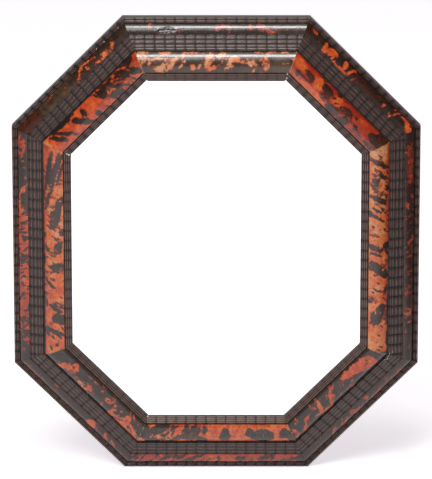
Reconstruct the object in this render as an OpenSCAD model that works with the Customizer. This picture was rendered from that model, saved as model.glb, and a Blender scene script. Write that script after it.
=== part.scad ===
// Octagonal wall mirror in a mitred frame that rises from a thin outer edge towards the glass.
// Each of the eight rails is a softwood core under three rippled mouldings and two convex bands
// of tortoiseshell veneer. The frame stands in the XZ plane, with its back on Y = 0, its face
// towards -Y and +Z up. The origin is the middle of the back.

/* [Overall size] */
// Width over the outer edges
overall_w = 506; // [450:1:620]
// Height over the outer edges
overall_h = 580; // [500:1:700]
// Length that each 45 degree corner takes off the two sides beside it
corner_cut = 137.5; // [115:0.5:155]

/* [Outer edge] */
// Height of the plain side face of the core, up to the outer rippled moulding
edge_h = 13; // [11:0.5:18]
// Width of the outer rippled moulding, seen from the front
outer_ripple_w = 6.7; // [4:0.1:10]
// Thickness of the outer rippled moulding
outer_ripple_t = 2.6; // [1.5:0.1:4]

/* [Outer shell band] */
// Width of the outer tortoiseshell band, seen from the front
outer_shell_w = 12.8; // [9:0.1:18]
// Rise of the band from its outer to its inner edge
outer_shell_rise = 9.2; // [5:0.1:12]
// Height of the convex face over the straight line between the band's edges
outer_shell_crown = 2.2; // [1:0.1:3]

/* [Middle rippled band] */
// Width of the middle rippled moulding, seen from the front
middle_ripple_w = 18.5; // [12:0.1:24]
// Rise of the moulding from its outer to its inner edge
middle_ripple_rise = 6.8; // [3:0.1:10]
// Thickness of the moulding
middle_ripple_t = 3; // [2:0.1:4]
// Width of the open groove between the moulding and the inner shell band
groove_w = 1.3; // [0.6:0.1:3]
// Depth of the groove below the moulding's inner edge
groove_depth = 4; // [2:0.1:6]

/* [Inner shell band] */
// Width of the inner tortoiseshell band, seen from the front
inner_shell_w = 24.4; // [18:0.1:30]
// Rise of the band from its outer to its inner edge
inner_shell_rise = 8.9; // [5:0.1:12]
// Height of the convex face over the straight line between the band's edges
inner_shell_crown = 4.8; // [2:0.1:6]
// Thickness of the shell veneer with its coloured ground, on both bands
shell_t = 1.2; // [0.8:0.1:1.8]

/* [Sight moulding] */
// Width of the rippled sight moulding, seen from the front
sight_ripple_w = 10; // [8:0.1:14]
// Fall of the sight moulding towards the glass
sight_fall = 3.3; // [1:0.1:5]
// Thickness of the sight moulding where it meets the glass
sight_lip = 3.5; // [2:0.1:5]
// How far the sight moulding reaches over the edge of the glass
sight_cover = 5.5; // [3:0.1:7]

/* [Ripples] */
// Distance from one ripple to the next along the rail
ripple_pitch = 12.5; // [8:0.1:18]
// Depth of the grooves between the ripples
ripple_depth = 0.9; // [0.4:0.1:1.2]

/* [Glass and back] */
// Thickness of the mirror plate
glass_t = 3; // [2:0.1:5]
// Gap between the mirror plate and the rebate around it
glass_gap = 0.5; // [0.3:0.1:1]
// Width of the softwood fillets that hold the plate against the sight moulding
fillet_w = 7; // [5:0.1:10]
// Thickness of the backboard, which lies flush with the back
backboard_t = 8; // [5:0.1:10]
// Gap between the backboard and the rebate around it
backboard_gap = 0.3; // [0.2:0.1:1]
// Width of the ledge on the core that the backboard is screwed to
ledge_w = 12; // [9:0.1:15]

/* [Corner splines] */
// Length of each spline along the mitre
spline_l = 30; // [20:1:34]
// Width of each spline across the mitre
spline_w = 26; // [16:1:30]
// Thickness of each spline
spline_t = 4; // [2:0.1:5]

/* [Backboard screws] */
// Length of the countersunk screws through the backboard
board_screw_l = 20; // [14:0.5:24]
// Radius of their shanks
board_screw_r = 1.75; // [1.2:0.05:2.2]
// Radius of their heads
board_screw_head_r = 3.5; // [2.8:0.1:4.2]

/* [Hangers] */
// Height of the ring pins above the middle of the mirror
hanger_z = 118; // [80:1:130]
// Width of each brass strap
strap_w = 14; // [11:0.5:16]
// Length of each strap below its ring pin
strap_l = 46; // [42:1:54]
// Thickness of each strap
strap_t = 1.1; // [0.8:0.1:1.5]
// Radius of the wire that the rings are bent from
ring_wire_r = 1.5; // [1.1:0.1:2]
// Width inside each ring
ring_inner_w = 18; // [17:0.5:22]
// Running clearance between a ring and its knuckle
ring_play = 0.05; // [0.02:0.01:0.1]
// Radius of the strap screws' shanks
strap_screw_r = 1.5; // [1:0.05:2]
// Radius of the strap screws' heads
strap_screw_head_r = 3; // [2.5:0.1:3.5]
// Length of the strap screws under their heads
strap_screw_l = 13; // [8:0.5:16]

/* [Hidden] */
$fn = 48;
SIDES = ["bottom", "bottom_right", "right", "top_right", "top", "top_left", "left", "bottom_left"];
MOULDED = ["core_rail_", "outer_ripple_", "outer_shell_", "middle_ripple_", "inner_shell_",
    "sight_ripple_"];

// Each corner of the frame turns by 45 degrees, so its mitre leans by half of that
mitre_lean = tan(22.5);
// Spare length and width on blanks that a cut passes through
spare = 2;
arc_steps = 12;

// Distances from the outer edge, across a rail, to the joints between the bands
x_outer_shell = outer_ripple_w;
x_middle = x_outer_shell + outer_shell_w;
x_groove = x_middle + middle_ripple_w;
x_inner_shell = x_groove + groove_w;
x_sight = x_inner_shell + inner_shell_w;
x_opening = x_sight + sight_ripple_w;
x_rebate = x_opening - sight_cover;
x_ledge = x_rebate - ledge_w;

// Heights of the same joints above the back
h_outer_shell = edge_h + outer_ripple_t;
h_middle = h_outer_shell + outer_shell_rise;
h_groove = h_middle + middle_ripple_rise;
h_sight = h_groove + inner_shell_rise;
h_opening = h_sight - sight_fall;
h_glass_front = h_opening - sight_lip;
h_glass_back = h_glass_front - glass_t;

// Space that the glass fillets leave at each corner
fillet_gap = 3;

// Distance of a spline from the outer corner, along the mitre, and its height above the back
spline_inset = 14;
spline_h = 4;

// Slots and clearances of the screws
screw_gap = 0.05;
board_hole_gap = 0.1;
slot_w = 0.9;
slot_depth = 0.7;
strap_head_h = 1.5;
strap_screw_first = 24;
strap_screw_last = strap_l - 8;

// Hanger knuckle and ring
knuckle_wall = 1.2;
knuckle_lift = 0.1;
knuckle_r = ring_wire_r + ring_play + knuckle_wall;
knuckle_y = knuckle_r + knuckle_lift;
ring_leg = 2;
ring_bend_r = ring_inner_w / 2 + ring_wire_r;
hanger_x = overall_w / 2 - x_ledge / 2;

// Length of a side's outer edge, and the corner where it starts, counter-clockwise from the bottom
half_w = overall_w / 2;
half_h = overall_h / 2;
flat_w = half_w - corner_cut;
flat_h = half_h - corner_cut;
side_starts = [[-flat_w, -half_h], [flat_w, -half_h], [half_w, -flat_h], [half_w, flat_h],
    [flat_w, half_h], [-flat_w, half_h], [-half_w, flat_h], [-half_w, -flat_h]];
function side_length(i) = norm(side_starts[(i + 1) % len(SIDES)] - side_starts[i]);

// Points of a circular arc from a to b that stands crown above the straight line
function arc_between(a, b, crown) =
    let (chord = norm(b - a))
    let (radius = crown / 2 + chord * chord / (8 * crown))
    let (outwards = [a.y - b.y, b.x - a.x] / chord)
    let (centre = (a + b) / 2 - outwards * (radius - crown))
    let (first = atan2(a.y - centre.y, a.x - centre.x))
    let (last = atan2(b.y - centre.y, b.x - centre.x))
    [for (i = [0 : arc_steps])
        let (angle = first + (last - first) * i / arc_steps)
        centre + radius * [cos(angle), sin(angle)]];
function lowered(points, drop) = [for (point = points) point - [0, drop]];
function reversed(points) = [for (i = [len(points) - 1 : -1 : 0]) points[i]];

// Outer faces of the two shell bands
outer_shell_face = arc_between([x_outer_shell, h_outer_shell], [x_middle, h_middle],
    outer_shell_crown);
inner_shell_face = arc_between([x_inner_shell, h_groove], [x_sight, h_sight], inner_shell_crown);

// Cross-sections: x runs inwards from the outer edge and y is the height above the back
function veneer_section(face) = concat(face, reversed(lowered(face, shell_t)));
core_section = concat(
    [[0, 0], [0, edge_h], [x_outer_shell, edge_h]],
    lowered(outer_shell_face, shell_t),
    [[x_middle, h_middle - middle_ripple_t], [x_groove, h_groove - middle_ripple_t],
        [x_groove, h_groove - groove_depth], [x_inner_shell, h_groove - groove_depth]],
    lowered(inner_shell_face, shell_t),
    [[x_sight, h_glass_front], [x_rebate, h_glass_front], [x_rebate, backboard_t],
        [x_ledge, backboard_t], [x_ledge, 0]]);

// Rippled mouldings: outer edge, inner edge and the height of the underside at each
outer_ripple_band = [[0, h_outer_shell], [x_outer_shell, h_outer_shell], edge_h, edge_h];
middle_ripple_band = [[x_middle, h_middle], [x_groove, h_groove], h_middle - middle_ripple_t,
    h_groove - middle_ripple_t];
sight_ripple_band = [[x_sight, h_sight], [x_opening, h_opening], h_glass_front, h_glass_front];

// Sets its children on side i: X along the outer edge, Y inwards and Z out of the back's plane
module on_side(i) {
    start = side_starts[i];
    translate([start.x, 0, start.y])
        rotate([0, -45 * i, 0])
            rotate([90, 0, 0])
                children();
}

// A straight length of a cross-section, mitred at both ends to fit its neighbours
module mitred_length(i, section) {
    length = side_length(i);
    reach = x_opening + spare;
    low = -spare * mitre_lean;
    high = reach * mitre_lean;
    intersection() {
        translate([-spare, 0, 0])
            rotate([90, 0, 90])
                linear_extrude(length + 2 * spare)
                    polygon(section);
        translate([0, 0, -spare])
            linear_extrude(h_sight + inner_shell_crown + 2 * spare)
                polygon([[low, -spare], [length - low, -spare], [length - high, reach],
                    [high, reach]]);
    }
}

// A mitred moulding whose top is crossed by ripples, set out from the middle of the rail
module rippled_length(i, band) {
    outer = band[0];
    inner = band[1];
    length = side_length(i);
    slope = atan2(inner.y - outer.y, inner.x - outer.x);
    across = norm(inner - outer);
    waves = ceil(length / ripple_pitch / 2) + 1;
    rounding = ripple_depth / 5;
    tops = [for (n = [-waves : waves - 1])
        for (step = [[0, -ripple_depth], [0.2, -rounding], [0.5, 0], [0.8, -rounding]])
            [length / 2 + (n + step.x) * ripple_pitch, step.y]];
    below = -(h_sight + inner_shell_crown);
    ends = [[length / 2 + waves * ripple_pitch, below], [length / 2 - waves * ripple_pitch, below]];
    intersection() {
        mitred_length(i, [[outer.x, band[2]], outer + [0, spare], inner + [0, spare],
            [inner.x, band[3]]]);
        translate([0, outer.x, outer.y])
            rotate([slope, 0, 0])
                translate([0, across + spare, 0])
                    rotate([90, 0, 0])
                        linear_extrude(across + 2 * spare)
                            polygon(concat(tops, ends));
    }
}

// The octagon of the frame, drawn in by a distance, and stood up between two heights
module octagon_plate(inset, low, high) {
    w = half_w - inset;
    h = half_h - inset;
    cut = corner_cut - inset * (2 - sqrt(2));
    translate([0, -low, 0])
        rotate([90, 0, 0])
            linear_extrude(high - low)
                polygon([[-w + cut, -h], [w - cut, -h], [w, -h + cut], [w, h - cut],
                    [w - cut, h], [-w + cut, h], [-w, h - cut], [-w, -h + cut]]);
}

// A spline lying across the mitre at the start of a side
module spline_blank() {
    rotate([0, 0, 67.5])
        translate([spline_inset, -spline_w / 2, spline_h])
            cube([spline_l, spline_w, spline_t]);
}

module core_rail(i) {
    color("#2f2622")
        on_side(i)
            difference() {
                mitred_length(i, core_section);
                spline_blank();
                translate([side_length(i), 0, 0])
                    mirror([1, 0, 0])
                        spline_blank();
                at_board_screw(i)
                    cylinder(h = board_screw_l + screw_gap, r = board_screw_r + screw_gap);
                if (SIDES[i] == "left" || SIDES[i] == "right")
                    at_strap_screws(i)
                        translate([0, 0, -spare])
                            cylinder(h = strap_screw_l - strap_t + spare + screw_gap,
                                r = strap_screw_r + screw_gap);
            }
}

module outer_ripple(i) {
    color("#3c302c")
        on_side(i)
            rippled_length(i, outer_ripple_band);
}

module outer_shell(i) {
    color("#6e3226")
        on_side(i)
            mitred_length(i, veneer_section(outer_shell_face));
}

module middle_ripple(i) {
    color("#3c302c")
        on_side(i)
            rippled_length(i, middle_ripple_band);
}

module inner_shell(i) {
    color("#c4502c")
        on_side(i)
            mitred_length(i, veneer_section(inner_shell_face));
}

module sight_ripple(i) {
    color("#3c302c")
        on_side(i)
            rippled_length(i, sight_ripple_band);
}

module mirror_glass() {
    color("#dfe6ea")
        octagon_plate(x_rebate + glass_gap, h_glass_back, h_glass_front);
}

// Square-ended fillets in the rebate, each stopping short of the corners
module glass_fillets() {
    short = (x_rebate + fillet_w) * mitre_lean + fillet_gap;
    color("#b08a5c")
        for (i = [0 : len(SIDES) - 1])
            on_side(i)
                translate([short, x_rebate, backboard_t])
                    cube([side_length(i) - 2 * short, fillet_w, h_glass_back - backboard_t]);
}

// The middle of the ledge, at the middle of side i, in that side's own axes
module at_board_screw(i) {
    translate([side_length(i) / 2, (x_ledge + x_rebate) / 2, 0])
        children();
}

// The two strap screws' places on a left or right side, in that side's own axes
module at_strap_screws(i) {
    pin_along = SIDES[i] == "right" ? flat_h + hanger_z : flat_h - hanger_z;
    down = SIDES[i] == "right" ? -1 : 1;
    for (drop = [strap_screw_first, strap_screw_last])
        translate([pin_along + down * drop, x_ledge / 2, 0])
            children();
}

module backboard() {
    color("#a9835a")
        difference() {
            octagon_plate(x_ledge + backboard_gap, 0, backboard_t);
            for (i = [0 : len(SIDES) - 1])
                on_side(i)
                    at_board_screw(i) {
                        translate([0, 0, -spare])
                            cylinder(h = backboard_t + 2 * spare,
                                r = board_screw_r + board_hole_gap);
                        board_screw_head(board_hole_gap);
                    }
        }
}

module corner_splines() {
    color("#c9a877")
        for (i = [0 : len(SIDES) - 1])
            on_side(i)
                spline_blank();
}

// Countersunk head, flush with the back and narrowing to the shank
module board_screw_head(extra) {
    head_h = board_screw_head_r - board_screw_r;
    cylinder(h = head_h, r1 = board_screw_head_r + extra, r2 = board_screw_r + extra);
}

module backboard_screws() {
    color("#8d8a84")
        for (i = [0 : len(SIDES) - 1])
            on_side(i)
                at_board_screw(i)
                    difference() {
                        union() {
                            board_screw_head(0);
                            cylinder(h = board_screw_l, r = board_screw_r);
                        }
                        translate([-board_screw_head_r - spare, -slot_w / 2, -spare])
                            cube([2 * (board_screw_head_r + spare), slot_w, slot_depth + spare]);
                    }
}

// The middle of a ring's pin, on the line where it touches the back
module at_hanger(side) {
    translate([side * hanger_x, 0, hanger_z])
        children();
}

// Strap folded round the ring's pin, with a hole for each screw
module hanger_strap(side) {
    color("#b08d45")
        at_hanger(side)
            difference() {
                union() {
                    rotate([-90, 0, 0])
                        linear_extrude(strap_t)
                            union() {
                                translate([-strap_w / 2, 0])
                                    square([strap_w, strap_l - strap_w / 2]);
                                translate([0, strap_l - strap_w / 2])
                                    circle(strap_w / 2);
                            }
                    translate([-strap_w / 2, knuckle_y, 0])
                        rotate([0, 90, 0])
                            cylinder(h = strap_w, r = knuckle_r);
                }
                translate([-strap_w / 2 - spare, knuckle_y, 0])
                    rotate([0, 90, 0])
                        cylinder(h = strap_w + 2 * spare, r = ring_wire_r + ring_play);
                for (drop = [strap_screw_first, strap_screw_last])
                    translate([0, -spare, -drop])
                        rotate([-90, 0, 0])
                            cylinder(h = strap_t + 2 * spare, r = strap_screw_r + board_hole_gap);
            }
}

// D-shaped ring of round wire, hanging down in front of its strap
module hanger_ring(side) {
    color("#b89a55")
        at_hanger(side)
            translate([0, knuckle_y, 0]) {
                translate([-ring_bend_r, 0, 0])
                    rotate([0, 90, 0])
                        cylinder(h = 2 * ring_bend_r, r = ring_wire_r);
                for (end = [-1, 1])
                    translate([end * ring_bend_r, 0, 0]) {
                        sphere(ring_wire_r);
                        translate([0, 0, -ring_leg])
                            cylinder(h = ring_leg, r = ring_wire_r);
                    }
                translate([0, 0, -ring_leg])
                    rotate([-90, 0, 0])
                        rotate_extrude(angle = 180)
                            translate([ring_bend_r, 0])
                                circle(ring_wire_r);
            }
}

// Round-headed screws that hold the straps
module hanger_screws() {
    color("#8d8a84")
        for (side = [-1, 1])
            at_hanger(side)
                for (drop = [strap_screw_first, strap_screw_last])
                    translate([0, strap_t, -drop])
                        rotate([90, 0, 0])
                            difference() {
                                union() {
                                    cylinder(h = strap_screw_l, r = strap_screw_r);
                                    translate([0, 0, -strap_head_h])
                                        cylinder(h = strap_head_h, r = strap_screw_head_r);
                                }
                                translate([-strap_screw_head_r - spare, -slot_w / 2,
                                    -strap_head_h - spare])
                                    cube([2 * (strap_screw_head_r + spare), slot_w,
                                        slot_depth + spare]);
                            }
}

for (i = [0 : len(SIDES) - 1]) {
    core_rail(i);
    outer_ripple(i);
    outer_shell(i);
    middle_ripple(i);
    inner_shell(i);
    sight_ripple(i);
}
mirror_glass();
glass_fillets();
backboard();
corner_splines();
backboard_screws();
hanger_strap(-1);  // hanger_strap_left
hanger_strap(1);  // hanger_strap_right
hanger_ring(-1);  // hanger_ring_left
hanger_ring(1);  // hanger_ring_right
hanger_screws();
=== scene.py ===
"""Octagonal wall mirror: a mitred frame of rippled black mouldings and tortoiseshell bands."""

import math
import random

import bmesh
import bpy
from mathutils import Matrix, Vector, noise


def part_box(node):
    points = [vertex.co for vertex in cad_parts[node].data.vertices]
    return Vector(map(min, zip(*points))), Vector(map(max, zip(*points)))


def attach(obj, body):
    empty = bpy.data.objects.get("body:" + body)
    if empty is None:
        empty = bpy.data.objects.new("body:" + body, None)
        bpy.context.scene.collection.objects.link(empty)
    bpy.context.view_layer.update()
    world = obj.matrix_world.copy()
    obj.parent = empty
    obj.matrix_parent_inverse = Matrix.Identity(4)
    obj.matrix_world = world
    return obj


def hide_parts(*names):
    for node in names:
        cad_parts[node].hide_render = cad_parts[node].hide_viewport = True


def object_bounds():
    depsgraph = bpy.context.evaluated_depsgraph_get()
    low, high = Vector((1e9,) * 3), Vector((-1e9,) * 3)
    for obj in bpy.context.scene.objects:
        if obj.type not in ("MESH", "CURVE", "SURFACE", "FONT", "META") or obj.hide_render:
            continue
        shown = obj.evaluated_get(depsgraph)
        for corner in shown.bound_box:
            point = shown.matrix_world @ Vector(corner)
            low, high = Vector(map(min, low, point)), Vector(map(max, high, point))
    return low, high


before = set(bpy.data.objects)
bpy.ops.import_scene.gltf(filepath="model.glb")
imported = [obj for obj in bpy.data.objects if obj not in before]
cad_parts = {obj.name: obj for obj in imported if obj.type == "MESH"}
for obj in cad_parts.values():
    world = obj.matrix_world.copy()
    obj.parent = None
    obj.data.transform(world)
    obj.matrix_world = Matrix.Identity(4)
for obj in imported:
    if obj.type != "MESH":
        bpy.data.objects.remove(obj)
cad_low, cad_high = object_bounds()

MM = 0.001
SIDES = ("bottom", "bottom_right", "right", "top_right", "top", "top_left", "left", "bottom_left")

# Each corner of the frame turns by 45 degrees, so its mitre leans by half of that
MITRE_LEAN = math.tan(math.radians(22.5))


# Camera and light


def aim(thing):
    """Turns a camera or lamp, which look along their own -Z, towards the middle of the mirror."""
    away = Vector((0, 0, 0)) - thing.location
    thing.rotation_euler = away.to_track_quat("-Z", "Y").to_euler()


def put_in_scene(name, data, place=(0, 0, 0)):
    thing = bpy.data.objects.new(name, data)
    thing.location = place
    bpy.context.scene.collection.objects.link(thing)
    return thing


def add_camera():
    """A long lens five metres away and 15 degrees above the middle of the mirror."""
    lens = bpy.data.cameras.new("camera")
    lens.sensor_width = 36
    lens.lens = 310.7
    lens.shift_x = -0.0004
    lens.shift_y = 0.00545
    height = math.radians(15.185)
    distance = 5.167
    place = (0, -distance * math.cos(height), distance * math.sin(height))
    camera = put_in_scene("camera", lens, place)
    aim(camera)
    bpy.context.scene.camera = camera


def add_lamp(name, place, size, power):
    """A flat soft lamp, with its place and size in metres and its power in watts."""
    lamp = bpy.data.lights.new(name, "AREA")
    lamp.shape = "RECTANGLE"
    lamp.size, lamp.size_y = size
    lamp.energy = power
    aim(put_in_scene(name, lamp, place))


# Materials


def linear(colour):
    """An sRGB hex value as linear red, green, blue and alpha."""
    parts = [int(colour[i : i + 2], 16) / 255 for i in (1, 3, 5)]
    return [c / 12.92 if c <= 0.04045 else ((c + 0.055) / 1.055) ** 2.4 for c in parts] + [1.0]


def add(tree, kind, inputs=None, stops=None, **settings):
    """Adds a shader node with its settings and colour stops. Each input gets a value, a colour, a
    socket, or a node, which is linked by its first socket in use."""
    made = tree.nodes.new("ShaderNode" + kind)
    for name, value in settings.items():
        setattr(made, name, value)
    if stops:
        ramp = made.color_ramp.elements
        while len(ramp) < len(stops):
            ramp.new(1.0)
        for element, (place, colour) in zip(ramp, stops):
            element.position = place
            element.color = linear(colour)
    for name, value in (inputs or {}).items():
        if isinstance(value, bpy.types.Node):
            value = [socket for socket in value.outputs if socket.enabled][0]
        if isinstance(value, bpy.types.NodeSocket):
            tree.links.new(value, made.inputs[name])
        elif isinstance(value, str):
            made.inputs[name].default_value = linear(value)
        else:
            made.inputs[name].default_value = value
    return made


def new_material(name):
    material = bpy.data.materials.new(name)
    material.use_nodes = True
    material.node_tree.nodes.clear()
    return material, material.node_tree


def millimetres(tree, stretch=(1, 1, 1)):
    """Places on a piece in millimetres, which on a rail are along, across and out of the wall. A
    stretch below 1 draws a pattern out along that axis, as grain is."""
    place = add(tree, "TexCoord")
    return add(tree, "VectorMath", {0: place.outputs["Object"], 1: [1000 * s for s in stretch]},
               operation="MULTIPLY")


def ebonised_pearwood():
    """Pearwood planed into ripples, stained black and waxed: its crests are painted paler brown, as
    rubbed wood and as painted highlight, and shine; its grooves are painted black, as grime, old
    wax and painted shade, and are dull."""
    material, tree = new_material("ebonised_pearwood")
    rail = add(tree, "ObjectInfo").outputs["Object Index"]
    relief = add(tree, "Attribute", attribute_name="relief").outputs["Fac"]
    bare = add(tree, "Attribute", attribute_name="bare").outputs["Fac"]
    # Pores and streaks of pearwood are 1 mm wide and drawn out along the moulding
    grain = add(tree, "TexNoise", {"Vector": millimetres(tree, (0.07, 1, 1)), "W": rail,
                                   "Scale": 1 / 1.0, "Detail": 4, "Roughness": 0.6},
                noise_dimensions="4D")
    rubbing = add(tree, "TexNoise", {"Vector": millimetres(tree), "W": rail, "Scale": 1 / 11,
                                     "Detail": 4, "Roughness": 0.65}, noise_dimensions="4D")
    stain = add(tree, "ValToRGB", {0: grain},
                stops=[(0.28, "#20161a"), (0.52, "#332522"), (0.75, "#463631")])
    # Valleys and grooves are painted near black: grime and old wax, and painted shade
    groove_dirt_and_shade = add(tree, "Mix", {0: add(tree, "MapRange", {0: relief, 1: -0.25, 2: 0.5}),
                               6: "#0c0807", 7: stain}, data_type="RGBA")
    # Crests are painted paler brown, as rubbed wood and as painted highlight
    crest = add(tree, "MapRange", {0: relief, 1: 0.66, 2: 0.95}, interpolation_type="SMOOTHSTEP")
    thin = add(tree, "Math", {0: bare, 1: crest}, operation="MULTIPLY")
    rubbed = add(tree, "Math", {0: crest, 1: add(tree, "MapRange", {0: rubbing, 1: 0.35, 2: 0.68,
                                                                   3: 0.15, 4: 0.6}), 2: thin},
                 operation="MULTIPLY_ADD")
    crest_wear_and_highlight = add(tree, "Mix", {0: rubbed, 6: groove_dirt_and_shade, 7: "#80665b"}, data_type="RGBA")
    # Small chips and rubbed edges show the raw wood, and the palest crests break into whitish
    # dashes of painted highlight
    chips_and_glints = add(tree, "Math", {0: bare, 1: add(tree, "MapRange", {0: grain, 1: 0.3, 2: 0.7,
                                                                   3: -0.3, 4: 0.3})},
                  operation="ADD")
    raw_wood_and_glints = add(tree, "MapRange", {0: chips_and_glints, 1: 0.95, 2: 1.1})
    colour = add(tree, "Mix", {0: raw_wood_and_glints, 6: crest_wear_and_highlight, 7: "#ece2cf"}, data_type="RGBA")
    polish = add(tree, "MapRange", {0: relief, 1: 0.0, 2: 0.8, 3: 0.7, 4: 0.24})
    dents = add(tree, "Bump", {"Height": grain, "Distance": 0.04 * MM})
    wood = add(tree, "BsdfPrincipled", {"Base Color": colour, "Roughness": polish, "IOR": 1.44,
                                        "Normal": dents})
    add(tree, "OutputMaterial", {"Surface": wood})
    return material


def polished_tortoiseshell():
    """Turtle shell scraped thin, glued over red ground and polished: clear orange shell with
    black blotches that fray into red-brown, all under one smooth gloss."""
    material, tree = new_material("polished_tortoiseshell")
    rail = add(tree, "ObjectInfo").outputs["Object Index"]
    pigment = add(tree, "Attribute", attribute_name="pigment").outputs["Fac"]
    tone = add(tree, "Attribute", attribute_name="tone").outputs["Fac"]
    mitre = add(tree, "Attribute", attribute_name="mitre").outputs["Fac"]
    place = millimetres(tree)
    # Blotches fray over 3 mm, and grains of pigment at their edges are 1 mm
    clouds = add(tree, "TexNoise", {"Vector": place, "W": rail, "Scale": 1 / 3.4, "Detail": 3,
                                    "Roughness": 0.6}, noise_dimensions="4D")
    grains = add(tree, "TexNoise", {"Vector": place, "W": rail, "Scale": 1 / 1.2, "Detail": 2},
                 noise_dimensions="4D")
    frayed = add(tree, "Math", {0: pigment, 1: add(tree, "MapRange", {0: clouds, 1: 0.25, 2: 0.75,
                                                                     3: -1.9, 4: 1.9})},
                 operation="ADD")
    depth = add(tree, "Math", {0: frayed, 1: add(tree, "MapRange", {0: grains, 1: 0.25, 2: 0.75,
                                                                   3: -0.4, 4: 0.4})},
                operation="ADD")
    share = add(tree, "MapRange", {0: depth, 1: -2.3, 2: 1.7})
    # The red ground under clear shell shifts from deep red to amber over 10 mm
    patches = add(tree, "TexNoise", {"Vector": place, "W": rail, "Scale": 1 / 10, "Detail": 4,
                                     "Roughness": 0.62}, noise_dimensions="4D")
    shift = add(tree, "Math", {0: tone, 1: add(tree, "MapRange", {0: patches, 1: 0.3, 2: 0.7,
                                                                 3: -0.55, 4: 0.55})},
                operation="ADD")
    ground = add(tree, "ValToRGB", {0: add(tree, "MapRange", {0: shift, 1: -1, 2: 1})},
                 stops=[(0.0, "#861c10"), (0.27, "#ab3517"), (0.48, "#c54e21"), (0.66, "#d1662a"),
                        (0.83, "#cc8050"), (1.0, "#cd946c")])
    cloudy = add(tree, "Mix", {0: add(tree, "MapRange", {0: clouds, 1: 0.5, 2: 0.75, 4: 0.4}),
                               6: ground, 7: "#9c4f3b"}, data_type="RGBA")
    speckled = add(tree, "Mix", {0: add(tree, "MapRange", {0: grains, 1: 0.5, 2: 0.72, 4: 0.45}),
                                 6: cloudy, 7: "#7d3c2c"}, data_type="RGBA")
    rim = add(tree, "Mix", {0: add(tree, "MapRange", {0: share, 1: 0.16, 2: 0.5}), 6: speckled,
                            7: "#84301b"}, data_type="RGBA")
    # Even the black is red-brown or olive in places, where the shell is thin
    black = add(tree, "ValToRGB", {0: add(tree, "MapRange", {0: shift, 1: -1.2, 2: 1.2})},
                stops=[(0.0, "#481d12"), (0.3, "#28130d"), (0.45, "#1e1715"), (0.7, "#2c2219"),
                       (1.0, "#50402a")])
    grainy = add(tree, "Mix", {0: add(tree, "MapRange", {0: grains, 1: 0.48, 2: 0.7, 4: 0.4}),
                               6: black, 7: "#5e3a2a"}, data_type="RGBA")
    dark = add(tree, "Mix", {0: add(tree, "MapRange", {0: share, 1: 0.46, 2: 0.74}),
                             6: "#592617", 7: grainy}, data_type="RGBA")
    shell = add(tree, "Mix", {0: add(tree, "MapRange", {0: share, 1: 0.34, 2: 0.6}), 6: rim,
                              7: dark}, data_type="RGBA")
    # Thin ochre line of old glue along the mitres, broken where the joint is still tight
    gap = add(tree, "Math", {0: mitre, 1: add(tree, "MapRange", {0: clouds, 1: 0.3, 2: 0.7,
                                                                3: -1.2, 4: 0.7})},
              operation="ADD")
    glue = add(tree, "MapRange", {0: gap, 1: 0.0, 2: 0.5, 3: 0.75, 4: 0.0})
    colour = add(tree, "Mix", {0: glue, 6: shell, 7: "#b78a4e"}, data_type="RGBA")
    haze = add(tree, "MapRange", {0: patches, 1: 0.35, 2: 0.7, 3: 0.14, 4: 0.24})
    waves = add(tree, "TexNoise", {"Vector": place, "Scale": 1 / 7, "Detail": 2})
    dents = add(tree, "Bump", {"Height": waves, "Distance": 0.1 * MM})
    veneer = add(tree, "BsdfPrincipled", {"Base Color": colour, "Roughness": haze, "IOR": 1.55,
                                          "Normal": dents})
    add(tree, "OutputMaterial", {"Surface": veneer})
    return material


def pine_stained_and_bare():
    """Planed pine rails, stained black round the outer edge as the mouldings are, and bare and
    browned by age behind, with growth rings drawn out along the rail."""
    material, tree = new_material("pine_stained_and_bare")
    rail = add(tree, "ObjectInfo").outputs["Object Index"]
    place = millimetres(tree)
    rings = add(tree, "TexNoise", {"Vector": millimetres(tree, (0.02, 1, 1)), "W": rail,
                                   "Scale": 1 / 3.5, "Detail": 4, "Roughness": 0.6},
                noise_dimensions="4D")
    fibres = add(tree, "TexNoise", {"Vector": millimetres(tree, (0.04, 1, 1)), "W": rail,
                                    "Scale": 1 / 0.6, "Detail": 3}, noise_dimensions="4D")
    age = add(tree, "TexNoise", {"Vector": place, "W": rail, "Scale": 1 / 28, "Detail": 5,
                                 "Roughness": 0.6}, noise_dimensions="4D")
    pine = add(tree, "ValToRGB", {0: rings},
               stops=[(0.30, "#7e5a39"), (0.47, "#a27a4f"), (0.58, "#b28a5e"), (0.70, "#8f6841")])
    browned = add(tree, "Mix", {0: add(tree, "MapRange", {0: age, 1: 0.35, 2: 0.72, 4: 0.65}),
                                6: pine, 7: "#5c4029"}, data_type="RGBA")
    black = add(tree, "ValToRGB", {0: fibres}, stops=[(0.3, "#1d1614"), (0.7, "#3b2f2b")])
    height = add(tree, "SeparateXYZ", {0: place}).outputs["Z"]
    drips = add(tree, "Math", {0: height, 1: add(tree, "MapRange", {0: age, 1: 0.3, 2: 0.7,
                                                                   3: -1.2, 4: 0.8})},
                operation="ADD")
    stained = add(tree, "MapRange", {0: drips, 1: 0.2, 2: 0.9})
    colour = add(tree, "Mix", {0: stained, 6: browned, 7: black}, data_type="RGBA")
    polish = add(tree, "MapRange", {0: stained, 3: 0.65, 4: 0.4})
    dents = add(tree, "Bump", {"Height": fibres, "Distance": 0.1 * MM})
    wood = add(tree, "BsdfPrincipled", {"Base Color": colour, "Roughness": polish,
                                        "Normal": dents})
    add(tree, "OutputMaterial", {"Surface": wood})
    return material


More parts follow.
